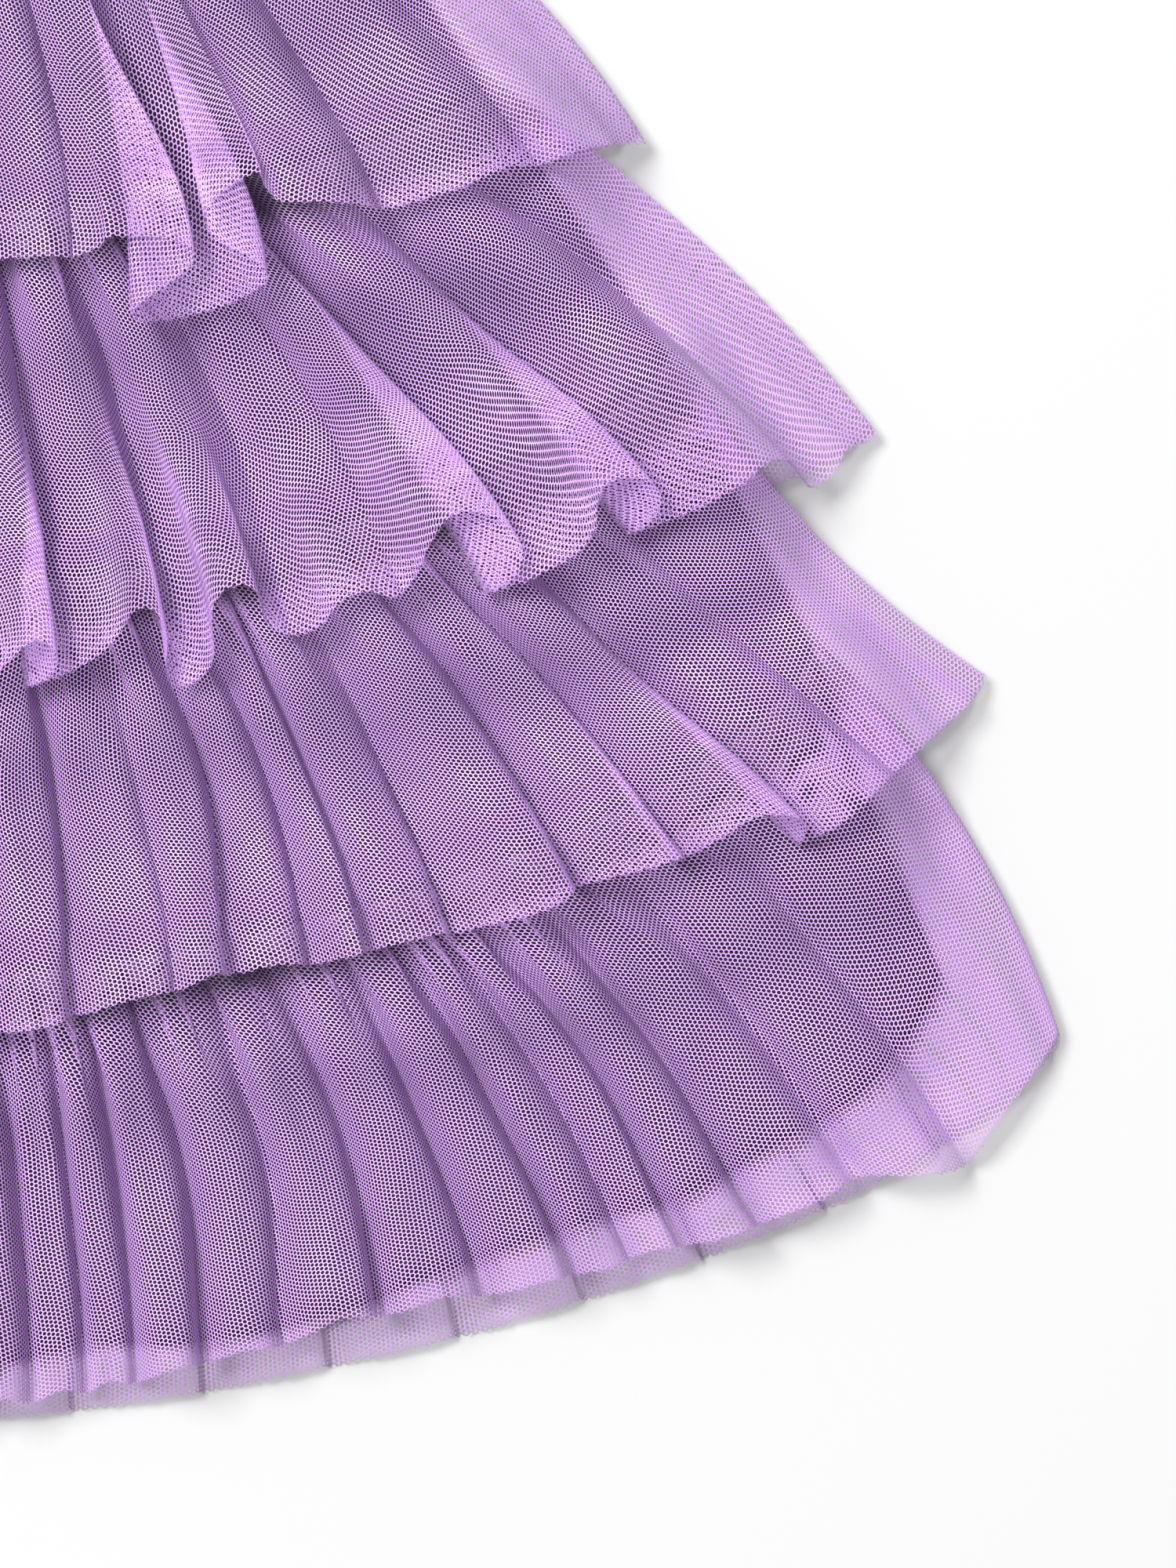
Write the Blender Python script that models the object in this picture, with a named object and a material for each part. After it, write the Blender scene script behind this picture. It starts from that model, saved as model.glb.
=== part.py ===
"""A girl's pull-on skirt of four gathered net tiers, laid flat on a table.

Four deep ruffles of soft net are sewn onto a plain A-line base skirt under an elastic waistband.
Each ruffle is a front and a back strip joined at the side seams.
X runs across the skirt, Y up towards the waist, Z away from the table.
Lengths are in millimetres here and are written in metres at the end.
A drop is a distance down from the waist seam, and a drop's share v runs from 0 at a strip's
gathered edge to 1 at its hem.
"""

import math
from collections import namedtuple

import bpy
import numpy as np
from mathutils import Matrix

MM = 0.001

# Cloth
WALL = 1.0
GAP = 0.3
NET_COLOUR = (0.50, 0.28, 0.66, 1.0)
BAND_COLOUR = (0.46, 0.25, 0.62, 1.0)

# Waistband, an elastic casing pressed flat
BAND_HALF = 95.0
BAND_DEPTH = 30.0
BAND_WALL = 2.4
BAND_RIBS = 26
BAND_RIB_RISE = 0.5
BAND_SIDE_POINTS = 5

# A strip's outline on the table: half its width, its drop on the middle line and its drop at
# the side, for the gathered edge and for the hem. bow bends the hem and flare the side edge.
# over and under are the shares of its drop that lie on the hem of the tier above, in the back,
# and down to the seam of the tier below, in the front.
Tier = namedtuple(
    "Tier", "name seam_half seam_mid seam_side hem_half hem_mid hem_side bow flare over under"
)
TIERS = (
    Tier("tier_1", 95.0, 0.0, 0.0, 161.0, 93.5, 63.2, 1.2, 6.0, 0.25, 0.78),
    Tier("tier_2", 130.0, 81.0, 52.0, 208.5, 175.5, 123.2, 1.3, 5.0, 0.22, 0.68),
    Tier("tier_3", 167.0, 151.0, 104.0, 230.6, 245.5, 172.2, 1.5, -5.0, 0.32, 0.76),
    Tier("tier_4", 196.0, 227.0, 163.0, 245.7, 321.5, 245.7, 1.5, 6.0, 0.25, 0.66),
)
# How the gathered edges bend, how far an outline is rounded on the middle line, how far the
# gathers crowd towards the sides, and how far the folds bulge outwards on their way down
SEAM_BOW = 1.6
MID_ROUND = 0.08
SIDE_CROWD = 0.10
FOLD_BOW = 4.0
HEM_STEPS = 800

# The folds of each front strip, from the middle line to the right side: where the crest meets
# the hem, its height, how far it has fallen over, and how far its hem has drawn up, the last
# two for each millimetre of height.
Fold = namedtuple("Fold", "at height lean draw")
FRONT_FOLDS = {
    "tier_1": (
        Fold(6.0, 9.0, 0.5, 0.5),
        Fold(23.0, 10.0, 0.6, 0.5),
        Fold(40.0, 8.0, 0.5, 0.4),
        Fold(57.0, 10.0, 0.7, 1.0),
        Fold(75.0, 8.0, 0.5, 0.6),
        Fold(93.0, 10.0, -0.5, 0.3),
        Fold(114.0, 7.0, -0.3, 0.3),
        Fold(133.0, 6.0, 0.3, 0.2),
        Fold(149.0, 5.0, 0.3, 0.2),
    ),
    "tier_2": (
        Fold(4.0, 9.0, 0.4, 0.4),
        Fold(20.0, 9.0, 0.6, 0.4),
        Fold(36.0, 10.0, 0.7, 0.6),
        Fold(58.0, 10.0, 0.8, 0.6),
        Fold(79.0, 10.0, 0.7, 0.6),
        Fold(100.0, 8.0, 0.4, 0.4),
        Fold(122.0, 10.0, 0.8, 0.8),
        Fold(152.0, 10.0, 0.7, 0.6),
        Fold(181.0, 8.0, 0.5, 0.4),
        Fold(199.0, 4.0, 0.3, 0.2),
    ),
    "tier_3": (
        Fold(7.0, 8.0, 0.3, 0.2),
        Fold(23.0, 8.0, 0.4, 0.2),
        Fold(40.0, 9.0, 0.4, 0.2),
        Fold(59.0, 9.0, 0.5, 0.2),
        Fold(73.0, 8.0, 0.4, 0.2),
        Fold(88.0, 7.0, 0.3, 0.2),
        Fold(105.0, 8.0, 0.5, 0.2),
        Fold(117.0, 8.0, 0.4, 0.2),
        Fold(141.0, 9.0, 0.6, 0.3),
        Fold(164.0, 8.0, 0.5, 0.3),
        Fold(183.0, 9.0, 0.6, 0.3),
        Fold(203.0, 7.0, 0.4, 0.2),
        Fold(220.0, 4.0, 0.3, 0.2),
    ),
    "tier_4": (
        Fold(5.0, 8.0, 0.3, 0.15),
        Fold(16.0, 8.0, 0.3, 0.15),
        Fold(26.0, 7.0, 0.3, 0.15),
        Fold(36.0, 8.0, 0.3, 0.15),
        Fold(47.0, 8.0, 0.4, 0.15),
        Fold(59.0, 7.0, 0.3, 0.15),
        Fold(72.0, 8.0, 0.4, 0.15),
        Fold(87.0, 8.0, 0.3, 0.15),
        Fold(102.0, 9.0, 0.4, 0.2),
        Fold(121.0, 9.0, 0.4, 0.2),
        Fold(141.0, 9.0, 0.5, 0.2),
        Fold(155.0, 8.0, 0.4, 0.2),
        Fold(167.0, 8.0, 0.4, 0.2),
        Fold(182.0, 8.0, 0.5, 0.2),
        Fold(198.0, 8.0, 0.5, 0.2),
        Fold(216.0, 7.0, 0.5, 0.2),
        Fold(232.0, 5.0, 0.4, 0.2),
    ),
}
# The left half has the same folds a little lower, and displaced but for those at the side.
LEFT_SHIFT = 2.5
LEFT_HEIGHT = 0.94
LEFT_SIDE_FROM = 0.9

# The back strips are pressed under the skirt: an even number of low folds each
BACK_FOLDS = {"tier_1": 12, "tier_2": 14, "tier_3": 16, "tier_4": 20}
BACK_HEIGHT = 2.6
BACK_LONGER = 3.0

# Where across a fold its points lie, as shares of its pitch from the crest, and their heights
FOLD_SHARES = (-0.13, 0.13, 0.37, 0.63)
FOLD_RISE = (1.0, 1.0, 0.0, 0.0)

# A fold's share of its height at the gathered edge, the share of the drop by which it has all
# of it, and the width of hem over which the folds die away at a side seam
SEAM_HEIGHT = 0.22
FULL_HEIGHT_AT = 0.66
EDGE_FADE = 9.0

# The base skirt, hidden under the tiers: how far its sides lie inside the gathered edges, and
# its own hem's half width and drops
BASE_INSET = 2.0
BASE_HEM = (216.0, 299.0, 222.0)
BASE_COLUMNS = 18
BASE_ROWS_EACH = 2

# Grid on which the height of the pile is kept, and the steps in which a facet is laid on it
CELL = 1.0
FINE_ROWS = 30
FINE_COLUMNS = 8
REACH_X = 262.0
DROP_LOW, DROP_HIGH = -44.0, 344.0
BLUR_CELLS = 8
SETTLE_ROUNDS = 20
SETTLE_STEP = 0.5


def smooth(x):
    """0 up to 0, 1 from 1, and an even curve between."""
    x = np.clip(x, 0.0, 1.0)
    return x * x * (3.0 - 2.0 * x)


def rise(u, bow):
    """How far an outline has risen, from 0 on the middle line to 1 at the side."""
    out = (np.hypot(u, MID_ROUND) - MID_ROUND) / (math.hypot(1.0, MID_ROUND) - MID_ROUND)
    return 1.0 - np.maximum(1.0 - out**bow, 0.0) ** (1.0 / bow)


def outline(u, half, mid, side, bow):
    """(across, drop) of an outline at a share u of its half width."""
    return half * u, mid - (mid - side) * rise(u, bow)


class Hem:
    """A strip's hem by the length along it."""

    def __init__(self, tier):
        self.u = np.sin(np.linspace(-math.pi / 2, math.pi / 2, HEM_STEPS + 1))
        self.x, drop = outline(self.u, tier.hem_half, tier.hem_mid, tier.hem_side, tier.bow)
        steps = np.hypot(np.diff(self.x), np.diff(drop))
        self.run = np.concatenate([[0.0], np.cumsum(steps)])
        self.run -= self.run[-1] / 2
        self.half = float(self.run[-1])

    def run_at(self, x):
        return np.interp(x, self.x, self.run)

    def u_at(self, run):
        return np.interp(run, self.run, self.u)


def place(tier, hem, run, v):
    """(across, drop) of the cloth before its folds rise, for arrays of runs and shares."""
    u = hem.u_at(run)
    hem_x, hem_drop = outline(u, tier.hem_half, tier.hem_mid, tier.hem_side, tier.bow)
    seam_u = u - SIDE_CROWD * np.sin(math.pi * np.abs(u) ** 3) * np.sign(u)
    seam_x, seam_drop = outline(
        seam_u, tier.seam_half, tier.seam_mid, tier.seam_side, SEAM_BOW
    )
    x = seam_x + (hem_x - seam_x) * v
    drop = seam_drop + (hem_drop - seam_drop) * v
    bow = 4.0 * v * (1.0 - v)
    bow = bow * (tier.flare * np.abs(u) ** 8 + FOLD_BOW * np.sin(math.pi * np.abs(u)))
    across, down = hem_x - seam_x, hem_drop - seam_drop
    long = np.hypot(across, down)
    return x + np.sign(u) * bow * down / long, drop - bow * np.abs(across) / long


class Pile:
    """How high the things laid on the table reach, on a grid over it."""

    def __init__(self):
        self.nx = int(2 * REACH_X / CELL) + 1
        self.nd = int((DROP_HIGH - DROP_LOW) / CELL) + 1
        self.top = np.zeros((self.nx, self.nd))

    def lay(self, upper):
        """Adds a piece by its upper face, an array of rows by columns of (x, drop, z)."""
        fine = facet_points(upper)
        np.maximum.at(self.top, self.cells(fine), fine[..., 2])

    def cells(self, points):
        i = np.clip(((points[..., 0] + REACH_X) / CELL).round().astype(int), 0, self.nx - 1)
        j = np.clip(((points[..., 1] - DROP_LOW) / CELL).round().astype(int), 0, self.nd - 1)
        return i, j

    def settle(self, mid, rests=False):
        """Lifts a middle surface, vertex by vertex, until its under face clears the pile."""
        clear = near(self.top, 1, np.max)
        rows, columns = mid.shape[0] - 1, mid.shape[1] - 1
        shares = facet_shares()
        total = np.sum(shares**2, axis=0)
        lifted = np.zeros(mid.shape[:2])
        for _ in range(SETTLE_ROUNDS):
            fine = facet_points(faces_of(mid + up(lifted), rests)[1])
            top = clear[self.cells(fine)]
            short = np.maximum(np.where(top > 0.0, top + GAP - fine[..., 2], 0.0), 0.0)
            lift = np.zeros(mid.shape[:2])
            for share, (i, j) in zip(shares, CORNERS):
                here = lift[i : i + rows, j : j + columns]
                np.maximum(here, (short * share / total).max(axis=(1, 3)), out=here)
            lifted += SETTLE_STEP * lift
        beside = np.pad(lifted, ((0, 0), (1, 1)), mode="edge")
        return mid + up(np.max([beside[:, :-2], lifted, beside[:, 2:]], axis=0))


def up(heights):
    """Heights as moves of points along Z."""
    return heights[..., None] * np.array([0.0, 0.0, 1.0])


# A facet's corners as steps down and across, and split into triangles from the first to the last
CORNERS = ((0, 0), (0, 1), (1, 0), (1, 1))


def facet_shares():
    """Each corner's share in the points of a facet, FINE_ROWS by FINE_COLUMNS of them."""
    a = np.linspace(0.0, 1.0, FINE_ROWS).reshape(-1, 1, 1)
    b = np.linspace(0.0, 1.0, FINE_COLUMNS).reshape(1, 1, -1)
    first, last = 1.0 - np.maximum(a, b), np.minimum(a, b)
    return np.stack([first, np.maximum(b - a, 0.0), np.maximum(a - b, 0.0), last])


def facet_points(grid):
    """Points all over the facets of a grid of points: facet row, row, facet column, column."""
    rows, columns = grid.shape[0] - 1, grid.shape[1] - 1
    return sum(
        share[..., None] * grid[i : i + rows, j : j + columns][:, None, :, None]
        for share, (i, j) in zip(facet_shares(), CORNERS)
    )


def between(rows, count):
    """The rows with count - 1 even steps put between each two."""
    shares = np.arange(count).reshape(1, count, 1, 1) / count
    filled = rows[:-1, None] * (1 - shares) + rows[1:, None] * shares
    return np.concatenate([filled.reshape(-1, *rows.shape[1:]), rows[-1:]])


def near(grid, cells, how):
    """Each cell takes the mean, or the most, of those near it."""
    for axis in (0, 1):
        grid = how([np.roll(grid, k, axis) for k in range(-cells, cells + 1)], axis=0)
    return grid


def fold_columns(crests):
    """The columns of points across a strip whose folds have their crests at these runs.

    Returns each column's run, its share of the fold's height, and its place among the folds,
    counted in folds.
    """
    order = np.arange(len(crests))
    places = (order[:, None] + np.array(FOLD_SHARES)[None, :]).ravel()
    rises = np.tile(FOLD_RISE, len(crests))
    keep = (places > -0.45) & (places < len(crests) - 0.55)
    places, rises = places[keep], rises[keep]
    ends_in = crests[0] - 0.5 * (crests[1] - crests[0])
    ends_out = crests[-1] + 0.5 * (crests[-1] - crests[-2])
    known = np.concatenate([[-0.5], order, [len(crests) - 0.5]])
    runs = np.interp(places, known, np.concatenate([[ends_in], crests, [ends_out]]))
    return runs, rises, places


def front_folds(tier, hem):
    """Each fold of a front strip from left to right: its crest's run, height, lean and draw."""
    right = FRONT_FOLDS[tier.name]
    rows = []
    for fold in reversed(right):
        shift = LEFT_SHIFT if fold.at < tier.hem_half * LEFT_SIDE_FROM else 0.0
        at = hem.run_at(-fold.at - shift)
        rows.append((at, fold.height * LEFT_HEIGHT, -fold.lean, fold.draw))
    for fold in right:
        rows.append((hem.run_at(fold.at), fold.height, fold.lean, fold.draw))
    return np.array(rows).T


def back_folds(tier, hem):
    """Even low folds that stand straight."""
    count = BACK_FOLDS[tier.name]
    crests = (np.arange(count) + 0.5 - count / 2) * 2.0 * hem.half / count
    none = np.zeros(count)
    return crests, none + BACK_HEIGHT, none, none


def strip(tier, pile, folds, shares_down, rests):
    """The middle surface of a gathered strip laid on the pile, rows by columns of (x, drop, z)."""
    hem = Hem(tier)
    crests, heights, leans, draws = folds(tier, hem)
    runs, rises, places = fold_columns(crests)
    runs = np.concatenate([[-hem.half], runs, [hem.half]])
    rises = np.concatenate([[0.0], rises, [0.0]])
    places = np.concatenate([[-0.5], places, [len(crests) - 0.5]])
    order = np.arange(len(crests))
    height, lean, draw = (np.interp(places, order, k) for k in (heights, leans, draws))
    height = height * smooth((hem.half - np.abs(runs)) / EDGE_FADE)
    v = np.array(shares_down)[:, None]
    run = np.broadcast_to(runs, (len(v), len(runs)))
    x, drop = place(tier, hem, run, v)
    eased = near(pile.top, BLUR_CELLS, np.mean)
    floor = eased[pile.cells(np.stack([x, drop], axis=-1))]
    laid = np.where(floor > 0.05, floor + GAP, 0.0) + WALL / 2
    grown = SEAM_HEIGHT + (1.0 - SEAM_HEIGHT) * smooth(v / FULL_HEIGHT_AT)
    crest = height * rises * grown
    over = (crest - 0.5 * height * grown) * lean * smooth(v)
    way = np.gradient(np.stack([x, drop]), axis=2)
    way = way / np.maximum(np.hypot(way[0], way[1]), 1e-6)
    x = x + way[0] * over
    drop = drop + way[1] * over - crest * draw * smooth(v)
    return pile.settle(np.stack([x, drop, laid + crest], axis=-1), rests)


def faces_of(mid, rests):
    """The upper and under faces of a wall about its middle surface. rests keeps it on the table."""
    down, across = np.gradient(mid, axis=0), np.gradient(mid, axis=1)
    normal = np.cross(across, down)
    normal = normal / np.linalg.norm(normal, axis=-1, keepdims=True)
    normal = normal * np.sign(normal[..., 2:].mean())
    upper, under = mid + normal * WALL / 2, mid - normal * WALL / 2
    if rests:
        on_table = mid[..., 2] < WALL / 2 + 0.01
        under[..., 2] = np.where(on_table, 0.0, np.maximum(under[..., 2], 0.0))
    return upper, under


def base_rows():
    """The base skirt's outlines from the waist down, each (half, mid, side)."""
    rows = [(t.seam_half - BASE_INSET, t.seam_mid, t.seam_side) for t in TIERS] + [BASE_HEM]
    return between(np.array(rows).reshape(len(rows), 1, 3), BASE_ROWS_EACH)[:, 0]


def base_panel(pile):
    """The middle surface of the base skirt's back, laid on the pile."""
    u = np.sin(np.linspace(-math.pi / 2, math.pi / 2, BASE_COLUMNS))
    x, drop = (
        np.array(side)
        for side in zip(*(outline(u, *row, SEAM_BOW) for row in base_rows()))
    )
    return pile.settle(np.stack([x, drop, np.full_like(x, WALL / 2)], axis=-1))


def material(name, colour, roughness):
    made = bpy.data.materials.new(name)
    made.use_nodes = True
    shader = made.node_tree.nodes["Principled BSDF"]
    shader.inputs["Base Color"].default_value = colour
    shader.inputs["Roughness"].default_value = roughness
    shader.inputs["Metallic"].default_value = 0.0
    return made


def add_object(name, points, faces, cloth):
    """A mesh object from points in (x, drop, z) millimetres."""
    mesh = bpy.data.meshes.new(name)
    mesh.from_pydata([(x * MM, -drop * MM, z * MM) for x, drop, z in points], [], faces)
    mesh.validate()
    mesh.update()
    mesh.materials.append(cloth)
    mesh.shade_smooth()
    mesh.set_sharp_from_angle(angle=math.radians(50))
    made = bpy.data.objects.new(name, mesh)
    bpy.context.scene.collection.objects.link(made)
    return made


def add_wall(name, upper, under, cloth):
    """A closed wall between two faces, each rows by columns of points."""
    rows, columns = upper.shape[:2]
    points = np.concatenate([upper.reshape(-1, 3), under.reshape(-1, 3)])
    count = rows * columns
    faces = []
    for i in range(rows - 1):
        for j in range(columns - 1):
            a, b = i * columns + j, (i + 1) * columns + j
            for one, two, three in ((a, b, b + 1), (a, b + 1, a + 1)):
                faces.append((one, two, three))
                faces.append((count + three, count + two, count + one))
    edge = list(range(columns))
    edge += [i * columns + columns - 1 for i in range(1, rows)]
    edge += [(rows - 1) * columns + j for j in range(columns - 2, -1, -1)]
    edge += [i * columns for i in range(rows - 2, 0, -1)]
    for a, b in zip(edge, edge[1:] + edge[:1]):
        faces.append((a, b, count + b))
        faces.append((a, count + b, count + a))
    return add_object(name, points, faces, cloth)


def band_ring(half, thick, rib_rise):
    """Points (x, z) round the pressed band: its ribbed top from right to left, then its flat
    underside from left to right."""
    points = []
    steps = 2 * BAND_RIBS
    straight = half - thick / 2
    for side in (1, -1):
        for k in range(steps + 1):
            x = side * straight * (1 - 2 * k / steps)
            rib = rib_rise if k % 2 and side > 0 else 0.0
            points.append((x, side * (thick / 2 - rib)))
        for k in range(1, BAND_SIDE_POINTS):
            turn = math.pi / 2 + math.pi * k / BAND_SIDE_POINTS
            x = side * (-straight + thick / 2 * math.cos(turn))
            points.append((x, side * thick / 2 * math.sin(turn)))
    return points


def add_waistband(cloth):
    """The elastic casing: a tube pressed flat, open at both ends, its top ribbed by gathers."""
    outer_thick = 2 * BAND_WALL + 2 * GAP
    outer = band_ring(BAND_HALF, outer_thick, BAND_RIB_RISE)
    inner = band_ring(BAND_HALF - BAND_WALL, 2 * GAP, 0.0)
    count = len(outer)
    drops = (-BAND_DEPTH, -GAP)
    points = [
        (x, drop, z + outer_thick / 2) for drop in drops for ring in (outer, inner) for x, z in ring
    ]
    outer_top, inner_top, outer_low, inner_low = (k * count for k in range(4))
    faces = []
    for a in range(count):
        b = (a + 1) % count
        faces.append((outer_top + a, outer_top + b, outer_low + b, outer_low + a))
        faces.append((inner_top + b, inner_top + a, inner_low + a, inner_low + b))
        faces.append((outer_top + b, outer_top + a, inner_top + a, inner_top + b))
        faces.append((outer_low + a, outer_low + b, inner_low + b, inner_low + a))
    return add_object("waistband", points, faces, cloth)


def centre(pieces):
    """Moves the pieces' points so that the whole skirt stands centred on the origin."""
    points = np.array([v.co[:] for piece in pieces for v in piece.data.vertices])
    low, high = points.min(axis=0), points.max(axis=0)
    move = Matrix.Translation((-(low[0] + high[0]) / 2, -(low[1] + high[1]) / 2, -low[2]))
    for piece in pieces:
        piece.data.transform(move)


def main():
    for old in list(bpy.data.objects):
        bpy.data.objects.remove(old, do_unlink=True)
    net = material("lilac_net", NET_COLOUR, 0.75)
    band = material("lilac_band", BAND_COLOUR, 0.7)
    pile = Pile()
    pieces = []

    for tier in TIERS:
        longer = tier._replace(hem_mid=tier.hem_mid + BACK_LONGER)
        shares_down = (0.0, tier.over, (1.0 + tier.over) / 2, 1.0)
        mid = strip(longer, pile, back_folds, shares_down, rests=True)
        upper, under = faces_of(mid, rests=True)
        pieces.append(add_wall(tier.name + "_back", upper, under, net))
        pile.lay(upper)

    base = base_panel(pile)
    for name, lift in (("base_back", 0.0), ("base_front", WALL + GAP)):
        under = base + (0.0, 0.0, lift - WALL / 2)
        upper = under + (0.0, 0.0, WALL)
        pieces.append(add_wall(name, upper, under, net))
        pile.lay(upper)

    for tier in reversed(TIERS):
        shares_down = (0.0, tier.under / 2, tier.under, 1.0)
        mid = strip(tier, pile, front_folds, shares_down, rests=False)
        upper, under = faces_of(mid, rests=False)
        pieces.append(add_wall(tier.name + "_front", upper, under, net))
        pile.lay(upper)

    pieces.append(add_waistband(band))
    centre(pieces)


main()
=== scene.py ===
"""Looks of the tiered net skirt: folds, net, raw hems, waistband, light and camera.

Every strip of net is worked out as the CAD part does, from outlines on the table and tables of
folds, on a much finer grid. Lengths are in millimetres until a mesh is made.
x runs across the skirt, a drop is a distance down from the waist seam, and a drop's share v runs
from 0 at a strip's gathered edge to 1 at its hem.
"""

import math
from collections import namedtuple

import bpy
import numpy as np
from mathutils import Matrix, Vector


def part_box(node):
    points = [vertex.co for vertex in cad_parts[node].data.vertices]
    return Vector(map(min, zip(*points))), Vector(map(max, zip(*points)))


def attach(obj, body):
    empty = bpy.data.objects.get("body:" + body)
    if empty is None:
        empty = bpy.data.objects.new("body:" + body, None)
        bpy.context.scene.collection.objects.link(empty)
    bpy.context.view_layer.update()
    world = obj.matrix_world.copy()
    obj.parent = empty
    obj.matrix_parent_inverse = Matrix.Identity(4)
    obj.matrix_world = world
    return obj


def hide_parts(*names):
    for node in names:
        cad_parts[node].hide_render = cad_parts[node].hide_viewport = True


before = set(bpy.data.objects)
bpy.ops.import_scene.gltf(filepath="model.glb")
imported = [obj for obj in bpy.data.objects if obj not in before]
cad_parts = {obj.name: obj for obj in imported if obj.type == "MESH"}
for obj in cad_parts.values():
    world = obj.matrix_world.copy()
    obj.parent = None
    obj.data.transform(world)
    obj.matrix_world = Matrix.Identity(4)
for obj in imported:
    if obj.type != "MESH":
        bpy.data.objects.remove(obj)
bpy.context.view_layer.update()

MM = 0.001
SEED = 7
SEED_STEP = 10
BAND_SEED = SEED + 70
BASE_SEED = SEED + 90
NOISE_GRID = 64

# Where the CAD stands: the waist seam is just under the waistband.
GAP = 0.3
band_low, band_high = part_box("waistband")
SEAM_Y = band_low.y / MM - GAP
MID_X = (band_low.x + band_high.x) / 2 / MM

# The photo: pixels of its frame, its scale, and where the skirt's waist seam meets its middle
# line, which lies outside it
PHOTO_WIDE, PHOTO_HIGH = 1500, 2000
MM_PER_PIXEL = 0.158
MIDDLE_PIXEL, SEAM_PIXEL = -200, -230

# Strips: half width, drop on the middle line and drop at the side, for the gathered edge and
# for the hem. bow bends the hem, and flare the side edge.
Tier = namedtuple("Tier", "name seam_half seam_mid seam_side hem_half hem_mid hem_side bow flare")
TIERS = (
    Tier("tier_1", 95.0, 0.0, 0.0, 161.0, 93.5, 63.2, 1.2, 6.0),
    Tier("tier_2", 130.0, 81.0, 52.0, 208.5, 175.5, 123.2, 1.3, 5.0),
    Tier("tier_3", 167.0, 156.0, 106.0, 230.6, 245.5, 172.2, 1.5, -5.0),
    Tier("tier_4", 196.0, 234.0, 165.0, 245.7, 321.5, 245.7, 1.5, 6.0),
)

# How every strip bends: its gathered edge, its round middle, its folds crowding towards the side
# and bowing on their way down, and how near the side its edge flares
SEAM_BOW = 1.6
MID_ROUND = 0.08
SIDE_CROWD = 0.10
CROWD_POWER = 3
FOLD_BOW = 4.0
FLARE_POWER = 8

# Points along a hem's curve, and how far the back hems hang below the front ones
HEM_STEPS = 800
BACK_LONGER = 3.0

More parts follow.
